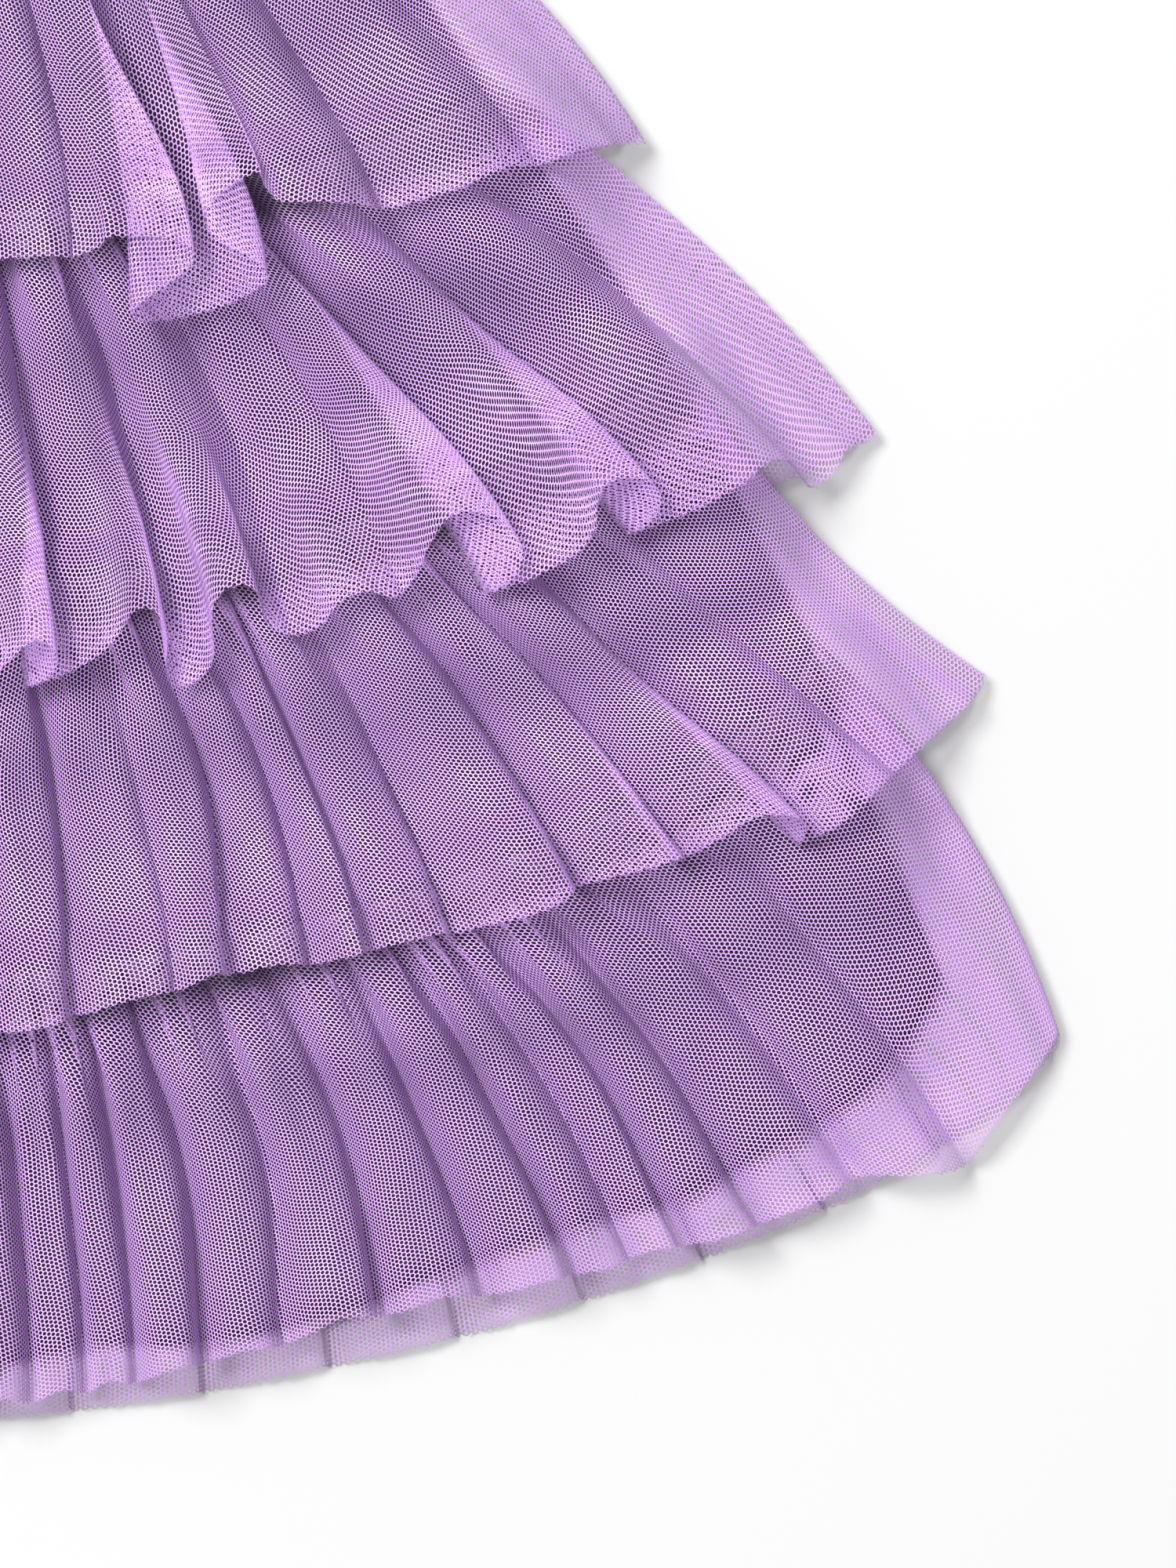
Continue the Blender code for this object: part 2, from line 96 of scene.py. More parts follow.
# Folds of the front strips from the middle line to the right side: where a fold's crest meets
# the hem, its height, how far it leans over its neighbour as a share of half its width, how far
# its hem hangs below the strip's outline and how narrow it is. Then for the valley to its right:
# how far its hem hangs (dip), the share of the height by which it sinks, and how far its walls
# close over it (roll).
Fold = namedtuple("Fold", "edge height lean hang narrow dip sinks roll")
FRONT_FOLDS = {
    "tier_1": (
        Fold(8.0, 9.0, 0.7, 0.0, 0.7, 2.0, 1.0, 0.0),
        Fold(25.0, 9.0, 0.97, 2.0, 0.6, -1.0, 1.0, 0.0),
        Fold(42.0, 8.0, 0.62, 1.0, 0.9, 2.0, 0.5, 0.0),
        Fold(60.0, 11.0, 1.23, 0.0, 0.5, 16.0, 1.0, 0.36),
        Fold(82.0, 11.0, -0.18, -8.0, 0.5, -3.0, 0.25, 0.0),
        Fold(97.0, 9.0, 0.53, -1.0, 0.8, 3.0, 1.0, 0.0),
        Fold(132.0, 5.0, 0.26, 0.0, 1.2, 1.0, 0.8, 0.0),
        Fold(149.0, 4.0, 0.26, 1.0, 0.8, 2.0, 1.0, 0.0),
    ),
    "tier_2": (
        Fold(7.0, 9.0, 0.74, -2.0, 0.6, 3.0, 1.0, 0.0),
        Fold(22.0, 9.0, 0.98, -1.0, 0.7, 3.0, 1.0, 0.0),
        Fold(40.0, 10.0, 1.07, -6.0, 0.6, 3.0, 1.0, 0.0),
        Fold(64.0, 10.0, 1.07, -8.0, 0.6, 8.0, 1.0, 0.1),
        Fold(80.0, 10.0, 0.25, -10.0, 0.8, 2.0, 1.0, 0.05),
        Fold(107.0, 6.0, 0.33, -3.0, 0.8, -1.0, 0.4, 0.0),
        Fold(131.0, 11.0, 1.31, -13.0, 0.5, 4.0, 1.0, 0.05),
        Fold(161.0, 10.0, 1.15, -11.0, 0.5, 0.0, 1.0, 0.03),
        Fold(190.0, 8.0, 0.98, -4.0, 0.6, 4.0, 1.0, 0.0),
        Fold(203.0, 3.0, 0.49, 0.0, 0.8, 1.0, 1.0, 0.0),
    ),
    "tier_3": (
        Fold(13.0, 7.74, 0.42, 0.0, 0.55, 1.0, 1.0, 0.0),
        Fold(27.0, 7.74, 0.59, 0.0, 0.65, 1.0, 1.0, 0.0),
        Fold(43.0, 8.6, 0.85, 1.0, 0.45, -1.0, 1.0, 0.0),
        Fold(60.0, 8.6, 0.34, -3.0, 0.45, -3.0, 0.35, 0.0),
        Fold(77.0, 8.6, 0.77, -5.0, 0.45, -4.0, 1.0, 0.0),
        Fold(90.0, 6.88, 0.42, -4.0, 0.65, -3.0, 1.0, 0.0),
        Fold(104.0, 6.88, 0.51, -3.0, 0.65, -3.0, 1.0, 0.0),
        Fold(116.0, 7.74, 0.59, -3.0, 0.85, -2.0, 1.0, 0.0),
        Fold(146.0, 8.6, 0.59, -2.0, 0.55, -3.0, 1.0, 0.0),
        Fold(166.0, 7.74, 0.68, -2.0, 0.55, -2.0, 1.0, 0.0),
        Fold(186.0, 9.46, 1.1, -4.0, 0.42, 5.0, 1.0, 0.0),
        Fold(205.0, 5.16, 0.42, 3.0, 0.65, 2.0, 1.0, 0.0),
        Fold(221.0, 2.58, 0.34, 0.0, 0.65, 0.0, 1.0, 0.0),
    ),
    "tier_4": (
        Fold(7.0, 7.3, 0.2, 0.0, 0.51, 1.0, 1.0, 0.0),
        Fold(19.0, 6.6, 0.25, 0.0, 0.51, 0.0, 1.0, 0.0),
        Fold(31.0, 7.3, 0.2, -1.0, 0.41, 0.0, 0.8, 0.0),
        Fold(44.0, 7.3, 0.25, -2.0, 0.51, -1.0, 1.0, 0.0),
        Fold(54.0, 6.6, 0.2, -3.0, 0.51, -2.0, 1.0, 0.0),
        Fold(66.0, 8.1, 0.3, -4.0, 0.41, -4.0, 1.0, 0.0),
        Fold(82.0, 6.6, 0.15, -5.0, 0.69, -4.0, 0.8, 0.0),
        Fold(102.0, 8.1, 0.3, -7.0, 0.41, -6.0, 1.0, 0.0),
        Fold(121.0, 7.3, 0.2, -6.0, 0.51, -4.0, 1.0, 0.0),
        Fold(141.0, 8.1, 0.35, -4.0, 0.41, -4.0, 1.0, 0.0),
        Fold(156.0, 6.6, 0.2, -3.0, 0.6, -3.0, 0.7, 0.0),
        Fold(167.0, 6.6, 0.3, -3.0, 0.51, -2.0, 1.0, 0.0),
        Fold(181.0, 7.3, 0.25, -1.0, 0.51, -1.0, 1.0, 0.0),
        Fold(198.0, 7.3, 0.35, -1.0, 0.41, -2.0, 1.0, 0.0),
        Fold(217.0, 6.6, -0.2, 3.0, 0.51, 6.0, 1.0, 0.0),
        Fold(234.0, 2.9, 0.2, 2.0, 0.69, -1.0, 1.0, 0.0),
    ),
}

# The left half: the right half's folds further out, but for those by the side, lower and calmer
LEFT_SHIFT = 4.5
LEFT_SIDE_FROM = 0.9
LEFT_HEIGHT = 0.94
LEFT_CALM = 0.55

# The back strips' folds: how many, and each one's height, lean and narrowness
BACK_FOLDS = {"tier_1": 12, "tier_2": 14, "tier_3": 16, "tier_4": 20}
BACK_HEIGHT = 2.6
BACK_LEAN = 0.6
BACK_NARROW = 0.8

# The base skirt under the tiers: how far its sides lie inside the gathered edges, its own hem's
# half width and drops, its columns, its rows from one outline to the next, the gap under each
# layer, the waves of its hem and the ripples of its face
BASE_INSET = 2.0
BASE_HEM = (221.0, 312.5, 234.0)
BASE_COLUMNS = 90
BASE_ROWS_EACH = 16
BASE_LAYER_GAP = 0.8
BASE_HEM_WAVES = 2.5
BASE_HEM_WAVE_WIDE = 17.0
BASE_RIPPLE = 0.3
BASE_RIPPLE_WIDE, BASE_RIPPLE_LONG = 16.0, 60.0

# How a fold grows from the gathers: its height at the seam, and the shares of the drop where it
# is full, and where its lean, its roll and its hang begin. Then how far from a side seam it
# dies away, how its top is arched, and between what its narrowness is kept.
SEAM_HEIGHT = 0.45
FULL_HEIGHT_AT = 0.38
LEAN_AT_SEAM = 0.2
LEAN_FROM = 0.25
ROLL_FROM = 0.2
HANG_FROM = 0.3
EDGE_FADE = 9.0
ARCH = 1.65
NARROW_LEAST, NARROW_MOST = 0.4, 1.4

# The gathers by a seam, two to a fold, and how far they push the cloth aside
GATHER_HEIGHT = 3.0
GATHER_SHARE = {"front": 1.0, "back": 0.64}
GATHER_UNTIL = 0.40
GATHER_ASIDE = 0.8

# Unevenness: how much, how many waves to a fold, and how long a wave is down the strip. Then how
# fast the sway grows from the gathered edge, and from how far off a side seam, and how much of
# it all a side of the skirt has.
Uneven = namedtuple("Uneven", "size a_fold long")
SWAY = Uneven(2.2, 0.8, 44.0)
SWELL = Uneven(0.36, 0.9, 45.0)
GATHER_DRIFT = Uneven(2.2, 1.3, 60.0)
GATHER_CHANGE = Uneven(0.25, 1.7, 30.0)
SWAY_GROWS = 1.5
SWAY_FROM_SIDE = 20.0
STIR = {"front": 1.0, "back": 0.4}

# Small creases: how high, how wide and how long. Then how they grow from the seam, their share
# at a side seam, and the waver of a hem and how wide its waves are.
Crease = namedtuple("Crease", "high wide long")
CREASE = Crease(0.55, 7.0, 26.0)
FINE_CREASE = Crease(0.22, 3.0, 11.0)
CREASES_GROW = 3.0
CREASES_AT_SIDE = 0.3
WAVER, WAVER_WIDE = 0.8, 14.0

# How the waist seam holds the layers: their heights in it, the length over which they come
# down to it, and the little folds there
PINCH_HEIGHTS = {"tier_1_back": 0.9, "base_back": 2.3, "base_front": 3.1, "tier_1_front": 4.3}
PINCH_LONG = 9.0
PINCH_FOLDS = 0.35

# Laying a strip: the gap under it, its lift for the creases, the least height that counts as a
# piece on the table, and how far a rise spreads and is evened out in the ground it lies on
LAYER_GAP = 1.3
LIFT = 0.6
BARE_TABLE = 0.05
GROUND_SPREAD, GROUND_BLUR = 4, 3

# Fineness of the meshes, and the rows either way over which the net's spacing is evened out
COLUMNS_A_FOLD = {"front": 36, "back": 20}
ROWS = {"front": 62, "back": 28}
MOST_COLUMNS = 760
UV_EVEN = {"front": 12, "back": 5}

# Thickness of the net's shell and of the base skirt's, and a strip's drop as it lies flat
CLOTH = 0.10
LINING = 0.4
STRIP_DROP = 97.0

# The net's columns and rows of holes, and a hole's size and soft edge
NET_COLUMN = 0.92
NET_ROW = 0.99
HOLE_RADIUS = 0.42
HOLE_BLUR = 0.03

# How far the net's columns draw together towards a gathered edge: 0 for even spacing, 1 for
# columns that run whole from the seam to the hem
NET_GATHERED = {"tier_1": 0.45, "tier_2": 0.45, "tier_3": 1.0, "tier_4": 1.0}

# The lower tiers' net: a painted lightening where it shows, for light its sloping strips miss, and
# a painted shade beneath the hem above, as shares, and how far from the gathered edge the first
# ends and the second begins
NET_PAINTED_LIGHT = 1.08
NET_PAINTED_SHADE = 0.25
NET_PAINTED_SHADE_FROM, NET_PAINTED_SHADE_TO = 15.0, 8.0

# Looks of the net: its patchy colour and how fine the patches are, how it takes light, the colour
# and share of what shines through, and how fine and deep its raw hem is torn, the depth in metres
NET_COLOURS = ((0.60, 0.335, 0.77, 1.0), (0.70, 0.44, 0.85, 1.0))
NET_PATCHES = 60.0
NET_LIGHT = {"Roughness": 0.5, "Sheen Weight": 0.08, "Sheen Roughness": 0.4}
NET_GLOW = (0.54, 0.34, 0.72)
NET_THROUGH = 0.12
RAGGED_FINE = 700.0
RAGGED_DEEP = 0.0008

# Looks of the rest: colours, and how fine the patches, the ribs and the knit are
BAND_COLOURS = ((0.36, 0.19, 0.53, 1.0), (0.46, 0.26, 0.65, 1.0))
BAND_PATCHES, BAND_RIBS = 120.0, 420.0
# The base skirt is real, but its near-black colours are painted shade, seen through the net's
# holes.
LINING_PAINTED_SHADE_COLOURS = ((0.014, 0.006, 0.026, 1.0), (0.030, 0.013, 0.055, 1.0))
LINING_PATCHES, LINING_KNIT = 90.0, 500.0
THREAD_COLOUR = (0.48, 0.29, 0.66, 1.0)
FLOOR_COLOUR = (0.57, 0.57, 0.57, 1.0)
WHITE = (1.0, 1.0, 1.0, 1.0)

# Waistband: half its width, its depth, its whole thickness and its wall
BAND_HALF = 95.0
BAND_DEPTH = 30.0
BAND_THICK = 5.4
BAND_WALL = 2.4
BAND_AROUND = 440
BAND_DOWN = 20

# Its gathers: how wide and deep one is, how they drift, and how their depth changes
BAND_GATHER = 3.4
BAND_GATHER_DEPTH = 0.7
BAND_DRIFT, BAND_DRIFT_WIDE, BAND_DRIFT_LONG = 2.6, 8.0, 24.0
BAND_CHANGE, BAND_CHANGE_WIDE, BAND_CHANGE_LONG = 0.35, 5.0, 15.0

# Its stitches: where the rows are, how they press into the casing, and a stitch's length, its
# step to the next one and how deep it sits. A ring across a stitch has a share of its
# length, half its width there, and the height of its middle.
BAND_STITCH_DROPS = (-26.5, -14.0, -3.5)
STITCH_GROOVE, STITCH_GROOVE_WIDE = 0.4, 1.0
STITCH_LONG = 2.4
STITCH_EVERY = 3.2
STITCH_SUNK = 0.75
STITCH_RINGS = ((-0.5, 0.10, 0.15), (-0.25, 0.19, 0.40), (0.25, 0.19, 0.40), (0.5, 0.10, 0.15))

# The pile's grid: its cell, its reach, the finer steps at which a piece is laid on it, and what
# keeps a spot and the cell after it inside
CELL = 1.0
REACH_X = 262.0
DROP_LOW, DROP_HIGH = -44.0, 344.0
FINER_DOWN, FINER_ACROSS = 2, 3
LAST_CELL = 1.001

# The stage, in metres: the floor's reach, the light, and the camera over the skirt's mean height
FLOOR_REACH = 4.0
KEY_PLACE = (-2.5, 2.0, 4.6)
KEY_AIM = (0.1, -0.05, 0.0)
KEY_SIZE = 2.2
KEY_POWER = 530.0
SKY_STRENGTH = 0.46
CAMERA_HIGH = 1.6
SKIRT_HIGH = 0.010

# The camera's sensor, in millimetres
SENSOR_HIGH = 24.0


def smooth(x):
    """0 up to 0, 1 from 1, and an even curve between."""
    x = np.clip(x, 0.0, 1.0)
    return x * x * (3.0 - 2.0 * x)


def grown_from(v, start):
    """0 down to a share of the drop, and on to 1 at the hem."""
    return smooth((v - start) / (1.0 - start))


def blend(corner, p, q):
    """A value between four corners, at the shares p and q of the way."""
    return (corner(0, 0) * (1 - p) + corner(1, 0) * p) * (1 - q) + (
        corner(0, 1) * (1 - p) + corner(1, 1) * p
    ) * q


def rise(u, bow):
    """How far an outline has risen, from 0 on the middle line to 1 at the side."""
    out = (np.hypot(u, MID_ROUND) - MID_ROUND) / (math.hypot(1.0, MID_ROUND) - MID_ROUND)
    return 1.0 - np.maximum(1.0 - out**bow, 0.0) ** (1.0 / bow)


def outline(u, half, mid, side, bow):
    """(across, drop) of an outline at a share u of its half width."""
    return half * u, mid - (mid - side) * rise(u, bow)


class Hem:
    """A strip's hem by the length along it."""

    def __init__(self, tier):
        self.u = np.sin(np.linspace(-math.pi / 2, math.pi / 2, HEM_STEPS + 1))
        self.x, drop = outline(self.u, tier.hem_half, tier.hem_mid, tier.hem_side, tier.bow)
        steps = np.hypot(np.diff(self.x), np.diff(drop))
        self.run = np.concatenate([[0.0], np.cumsum(steps)])
        self.run -= self.run[-1] / 2
        self.half = float(self.run[-1])

    def run_at(self, x):
        return np.interp(x, self.x, self.run)

    def u_at(self, run):
        return np.interp(run, self.run, self.u)


def place(tier, hem, run, v):
    """(across, drop) of the cloth before its folds rise, for arrays of runs and shares."""
    u = hem.u_at(run)
    hem_x, hem_drop = outline(u, tier.hem_half, tier.hem_mid, tier.hem_side, tier.bow)
    seam_u = u - SIDE_CROWD * np.sin(math.pi * np.abs(u) ** CROWD_POWER) * np.sign(u)
    seam_x, seam_drop = outline(
        seam_u, tier.seam_half, tier.seam_mid, tier.seam_side, SEAM_BOW
    )
    x = seam_x + (hem_x - seam_x) * v
    drop = seam_drop + (hem_drop - seam_drop) * v
    bow = 4.0 * v * (1.0 - v)
    flare = tier.flare * np.abs(u) ** FLARE_POWER
    bow = bow * (flare + FOLD_BOW * np.sin(math.pi * np.abs(u)))
    across, down = hem_x - seam_x, hem_drop - seam_drop
    long = np.hypot(across, down)
    return x + np.sign(u) * bow * down / long, drop - bow * np.abs(across) / long


class Noise:
    """Smooth seeded noise from -1 to 1 over a plane, with features of about one unit. Numbers
    added to a place only read it elsewhere, so that two uses differ."""

    def __init__(self, seed):
        size = (NOISE_GRID, NOISE_GRID)
        self.grid = np.random.default_rng(seed).uniform(-1.0, 1.0, size)

    def at(self, a, b):
        i, j = np.floor(a).astype(int), np.floor(b).astype(int)

        def corner(di, dj):
            return self.grid[(i + di) % NOISE_GRID, (j + dj) % NOISE_GRID]

        return blend(corner, smooth(a - i), smooth(b - j))


class Pile:
    """How high the things laid on the table reach, on a grid over it."""

    def __init__(self):
        self.nx = int(2 * REACH_X / CELL) + 1
        self.nd = int((DROP_HIGH - DROP_LOW) / CELL) + 1
        self.top = np.zeros((self.nx, self.nd))

    def lay(self, points):
        """Adds a piece by its points, rows by columns of (x, drop, z)."""
        fine = between(between(points, FINER_DOWN).swapaxes(0, 1), FINER_ACROSS)
        i, j = self.spots(fine[..., 0], fine[..., 1])
        np.maximum.at(self.top, (i.round().astype(int), j.round().astype(int)), fine[..., 2])

    def spots(self, x, drop):
        i = np.clip((x + REACH_X) / CELL, 0, self.nx - LAST_CELL)
        j = np.clip((drop - DROP_LOW) / CELL, 0, self.nd - LAST_CELL)
        return i, j

    def ground(self):
        """A gentle surface over the pile, as a function of (x, drop)."""
        grid = near(near(self.top, GROUND_SPREAD, np.max), GROUND_BLUR, np.mean)

        def at(x, drop):
            fx, fd = self.spots(x, drop)
            i, j = fx.astype(int), fd.astype(int)
            return blend(lambda di, dj: grid[i + di, j + dj], fx - i, fd - j)

        return at


def between(rows, count):
    """The rows with count - 1 even steps put between each two."""
    shares = np.arange(count).reshape(1, count, 1, 1) / count
    filled = rows[:-1, None] * (1 - shares) + rows[1:, None] * shares
    return np.concatenate([filled.reshape(-1, *rows.shape[1:]), rows[-1:]])


def near(grid, cells, how):
    """Each cell takes the mean, or the most, of those near it."""
    for axis in (0, 1):
        grid = how([np.roll(grid, k, axis) for k in range(-cells, cells + 1)], axis=0)
    return grid


def even_down(rows, count):
    """The rows with each column's changes evened out over so many rows either way."""
    padded = np.concatenate([rows[:1]] * count + [rows] + [rows[-1:]] * count)
    return np.mean([padded[k : k + len(rows)] for k in range(2 * count + 1)], axis=0)


def curve_through(places, knots, values):
    """A smooth curve through values at knots, read at places."""
    slopes = np.gradient(values, knots)
    k = np.clip(np.searchsorted(knots, places, side="right") - 1, 0, len(knots) - 2)
    wide = knots[k + 1] - knots[k]
    t = (places - knots[k]) / wide
    return (
        (2 * t**3 - 3 * t**2 + 1) * values[k]
        + (t**3 - 2 * t**2 + t) * slopes[k] * wide
        + (3 * t**2 - 2 * t**3) * values[k + 1]
        + (t**3 - t**2) * slopes[k + 1] * wide
    )


def front_folds(tier, hem):
    """The folds of a front strip from left to right, (run, height, lean, hang, narrow), and the
    valleys about them, (dip, sinks, roll), one more than the folds."""
    right = FRONT_FOLDS[tier.name]
    folds, valleys = [], []
    for fold in reversed(right):
        shift = LEFT_SHIFT if fold.edge < tier.hem_half * LEFT_SIDE_FROM else 0.0
        at = hem.run_at(-fold.edge - shift)
        calm = LEFT_CALM * fold.hang
        folds.append((at, fold.height * LEFT_HEIGHT, -fold.lean * LEFT_CALM, calm, fold.narrow))
        valleys.append((fold.dip * LEFT_CALM, fold.sinks, fold.roll * LEFT_CALM))
    valleys.append((0.0, 1.0, 0.0))
    for fold in right:
        at = hem.run_at(fold.edge)
        folds.append((at, fold.height, fold.lean, fold.hang, fold.narrow))
        valleys.append((fold.dip, fold.sinks, fold.roll))
    return np.array(folds).T, np.array(valleys).T


def back_folds(tier, hem):
    """Even low folds, leaning to the right."""
    count = BACK_FOLDS[tier.name]
    crests = (np.arange(count) + 0.5 - count / 2) * 2.0 * hem.half / count
    none = np.zeros(count)
    lean, narrow = none + BACK_LEAN, none + BACK_NARROW
    folds = np.array([crests, none + BACK_HEIGHT, lean, none, narrow])
    return folds, np.array([[0.0, 1.0, 0.0]] * (count + 1)).T


def fold_columns(tier, side, hem):
    """The folds as each column of the mesh meets them. s counts folds: a crest is at each whole
    number, and a valley half way between."""
    folds, valleys = (front_folds if side == "front" else back_folds)(tier, hem)
    edges, heights, leans, hangs, narrows = folds
    dips, sinks, rolls = valleys
    count = len(edges)
    order = np.arange(count)
    s = np.linspace(-0.5, count - 0.5, min(COLUMNS_A_FOLD[side] * count, MOST_COLUMNS))
    middles = edges - leans * np.gradient(edges) / 4
    knots = np.concatenate([[-0.5], order, [count - 0.5]])
    run = curve_through(s, knots, np.concatenate([[-hem.half], middles, [hem.half]]))
    height, lean, narrow = (curve_through(s, order, k) for k in (heights, leans, narrows))
    hang = np.zeros(2 * count + 1)
    hang[0::2], hang[1::2] = dips, hangs
    hang = curve_through(s, np.arange(2 * count + 1) / 2 - 0.5, hang)
    sink, roll = (np.interp(s, np.arange(count + 1) - 0.5, k) for k in (sinks, rolls))
    return s, run, height, lean, narrow, hang, sink, roll


def strip(tier, side, pile, seed):
    """A gathered strip laid on the pile: points, rows by columns of (x, drop, z), and UVs."""
    hem = Hem(tier)
    s, run, height, lean, narrow, hang, sink, roll = fold_columns(tier, side, hem)
    pitch = np.gradient(run, s)
    wander, crinkle, fine = Noise(seed), Noise(seed + 1), Noise(seed + 2)
    v = np.linspace(0.0, 1.0, ROWS[side])[:, None]
    long = v * STRIP_DROP
    stir = STIR[side]
    inside = hem.half - np.abs(run)
    edge = smooth(inside / EDGE_FADE)

    def uneven(noise, kind, start=0.0):
        return noise.at(s * kind.a_fold + start, long / kind.long)

    # Folds wander, swell and sink on their way down.
    sway = SWAY.size * uneven(wander, SWAY) * smooth(v * SWAY_GROWS)
    swell = 1.0 + stir * SWELL.size * uneven(wander, SWELL, 31.0)
    grown = (SEAM_HEIGHT + (1.0 - SEAM_HEIGHT) * smooth(v / FULL_HEIGHT_AT)) * swell * edge
    turn = 2 * math.pi * s
    apart = 2 * np.abs(s - np.round(s))
    profile = 1.0 - sink * apart ** (ARCH / np.clip(narrow, NARROW_LEAST, NARROW_MOST))
    crest = height * profile * grown
    over = LEAN_AT_SEAM + (1.0 - LEAN_AT_SEAM) * grown_from(v, LEAN_FROM)
    leaning = (profile - 0.5) * lean * pitch / 2 * over * swell
    closing = roll * pitch * np.sin(2 * turn) * grown_from(v, ROLL_FROM)

    # Gathers by the seam
    gather = GATHER_HEIGHT * (1.0 - smooth(v / GATHER_UNTIL)) * GATHER_SHARE[side]
    beat = 2 * turn + GATHER_DRIFT.size * uneven(wander, GATHER_DRIFT, 7.0)
    little = 0.5 + 0.5 * np.cos(beat)
    change = GATHER_CHANGE.size * uneven(crinkle, GATHER_CHANGE)
    gathers = gather * little * (1.0 - GATHER_CHANGE.size + change) * edge
    aside = (leaning + closing) * edge + gather * GATHER_ASIDE * np.sin(beat) * edge
    run_v = run + stir * sway * smooth(inside / SWAY_FROM_SIDE)

    # Each point moves aside along its row, and down along its column.
    x, drop = place(tier, hem, run_v, v)
    way = np.gradient(np.stack([x, drop]), axis=2)
    way = way / np.maximum(np.hypot(way[0], way[1]), 1e-6)
    down = np.gradient(np.stack([x, drop]), axis=1)
    down = down / np.maximum(np.hypot(down[0], down[1]), 1e-6)
    lower = hang * grown_from(v, HANG_FROM)
    lower = lower + stir * WAVER * crinkle.at(run / WAVER_WIDE, 5.0) * smooth(v)
    x = x + way[0] * aside + down[0] * lower
    drop = drop + way[1] * aside + down[1] * lower

    # Small creases all over
    creases = CREASE.high * crinkle.at(run / CREASE.wide, long / CREASE.long)
    fine_ones = FINE_CREASE.high * fine.at(run / FINE_CREASE.wide, long / FINE_CREASE.long)
    fading = CREASES_AT_SIDE + (1.0 - CREASES_AT_SIDE) * edge
    rough = stir * (creases + fine_ones) * smooth(v * CREASES_GROW) * fading
    ground = pile.ground()(x, drop)
    laid = np.where(ground > BARE_TABLE, ground + LAYER_GAP, CLOTH)
    z = laid + crest + gathers + rough + LIFT
    if tier.seam_mid == 0.0:
        little_folds = PINCH_FOLDS * np.cos(2 * beat) * edge
        z = pinched(z, drop, PINCH_HEIGHTS["tier_1_" + side] + little_folds)
    points = np.stack([x, drop, z], axis=-1)
    return points, strip_uv(points, v, tier, side)


def strip_uv(points, v, tier, side):
    """Where each point is on the flat strip: how far along it, and how far above its hem."""
    steps = np.linalg.norm(np.diff(points, axis=1), axis=2)
    u = np.concatenate([np.zeros((len(v), 1)), np.cumsum(steps, axis=1)], axis=1)
    u = even_down(u - u[:, -1:] / 2, UV_EVEN[side])
    u = u * (u[-1, -1] / u[:, -1:]) ** NET_GATHERED[tier.name] + u[-1, -1]
    return np.stack([u, STRIP_DROP * (1.0 - v) + 0 * u], axis=-1)


def pinched(z, from_seam, seam_z):
    """Heights brought together at the waist seam, where the band holds every layer."""
    free = smooth(from_seam / PINCH_LONG)
    return z * free + seam_z * (1.0 - free)


def base_panel(pile, name):
    """A layer of the base skirt, laid on the pile: points, rows by columns of (x, drop, z), and
    UVs."""
    rows = [(t.seam_half - BASE_INSET, t.seam_mid, t.seam_side) for t in TIERS] + [BASE_HEM]
    rows = between(np.array(rows).reshape(len(rows), 1, 3), BASE_ROWS_EACH)[:, 0]
    u = np.sin(np.linspace(-math.pi / 2, math.pi / 2, BASE_COLUMNS))
    x, drop = (np.array(part) for part in zip(*(outline(u, *row, SEAM_BOW) for row in rows)))
    noise = Noise(BASE_SEED)
    low = smooth(np.linspace(-4.0, 1.0, len(rows)))[:, None]
    drop = drop + low * BASE_HEM_WAVES * noise.at(x / BASE_HEM_WAVE_WIDE + 20.0, 3.0)
    ripples = BASE_RIPPLE * noise.at(x / BASE_RIPPLE_WIDE + 50.0, drop / BASE_RIPPLE_LONG)
    z = pile.ground()(x, drop) + BASE_LAYER_GAP + ripples
    z = pinched(z, drop, PINCH_HEIGHTS[name])
    points = np.stack([x, drop, z], axis=-1)
    return points, points[..., :2].copy()


def to_world(points):
    x, drop, z = points[..., 0], points[..., 1], points[..., 2]
    return np.stack([(x + MID_X) * MM, (SEAM_Y - drop) * MM, z * MM], axis=-1)


def add_mesh(name, points, faces, uv, material):
    """A smooth mesh of four-sided faces from points in millimetres, with UVs in metres."""
    mesh = bpy.data.meshes.new(name)
    mesh.vertices.add(len(points))
    mesh.vertices.foreach_set("co", to_world(points).astype(np.float32).ravel())
    mesh.loops.add(faces.size)
    mesh.loops.foreach_set("vertex_index", faces.ravel().astype(np.int32))
    mesh.polygons.add(len(faces))
    mesh.polygons.foreach_set("loop_start", np.arange(0, faces.size, 4, dtype=np.int32))
    mesh.update(calc_edges=True)
    layer = mesh.uv_layers.new(name="cloth")
    layer.data.foreach_set("uv", (uv * MM)[faces.ravel()].astype(np.float32).ravel())
    mesh.polygons.foreach_set("use_smooth", np.ones(len(faces), bool))
    mesh.materials.append(material)
    made = bpy.data.objects.new(name, mesh)
    bpy.context.scene.collection.objects.link(made)
    return made


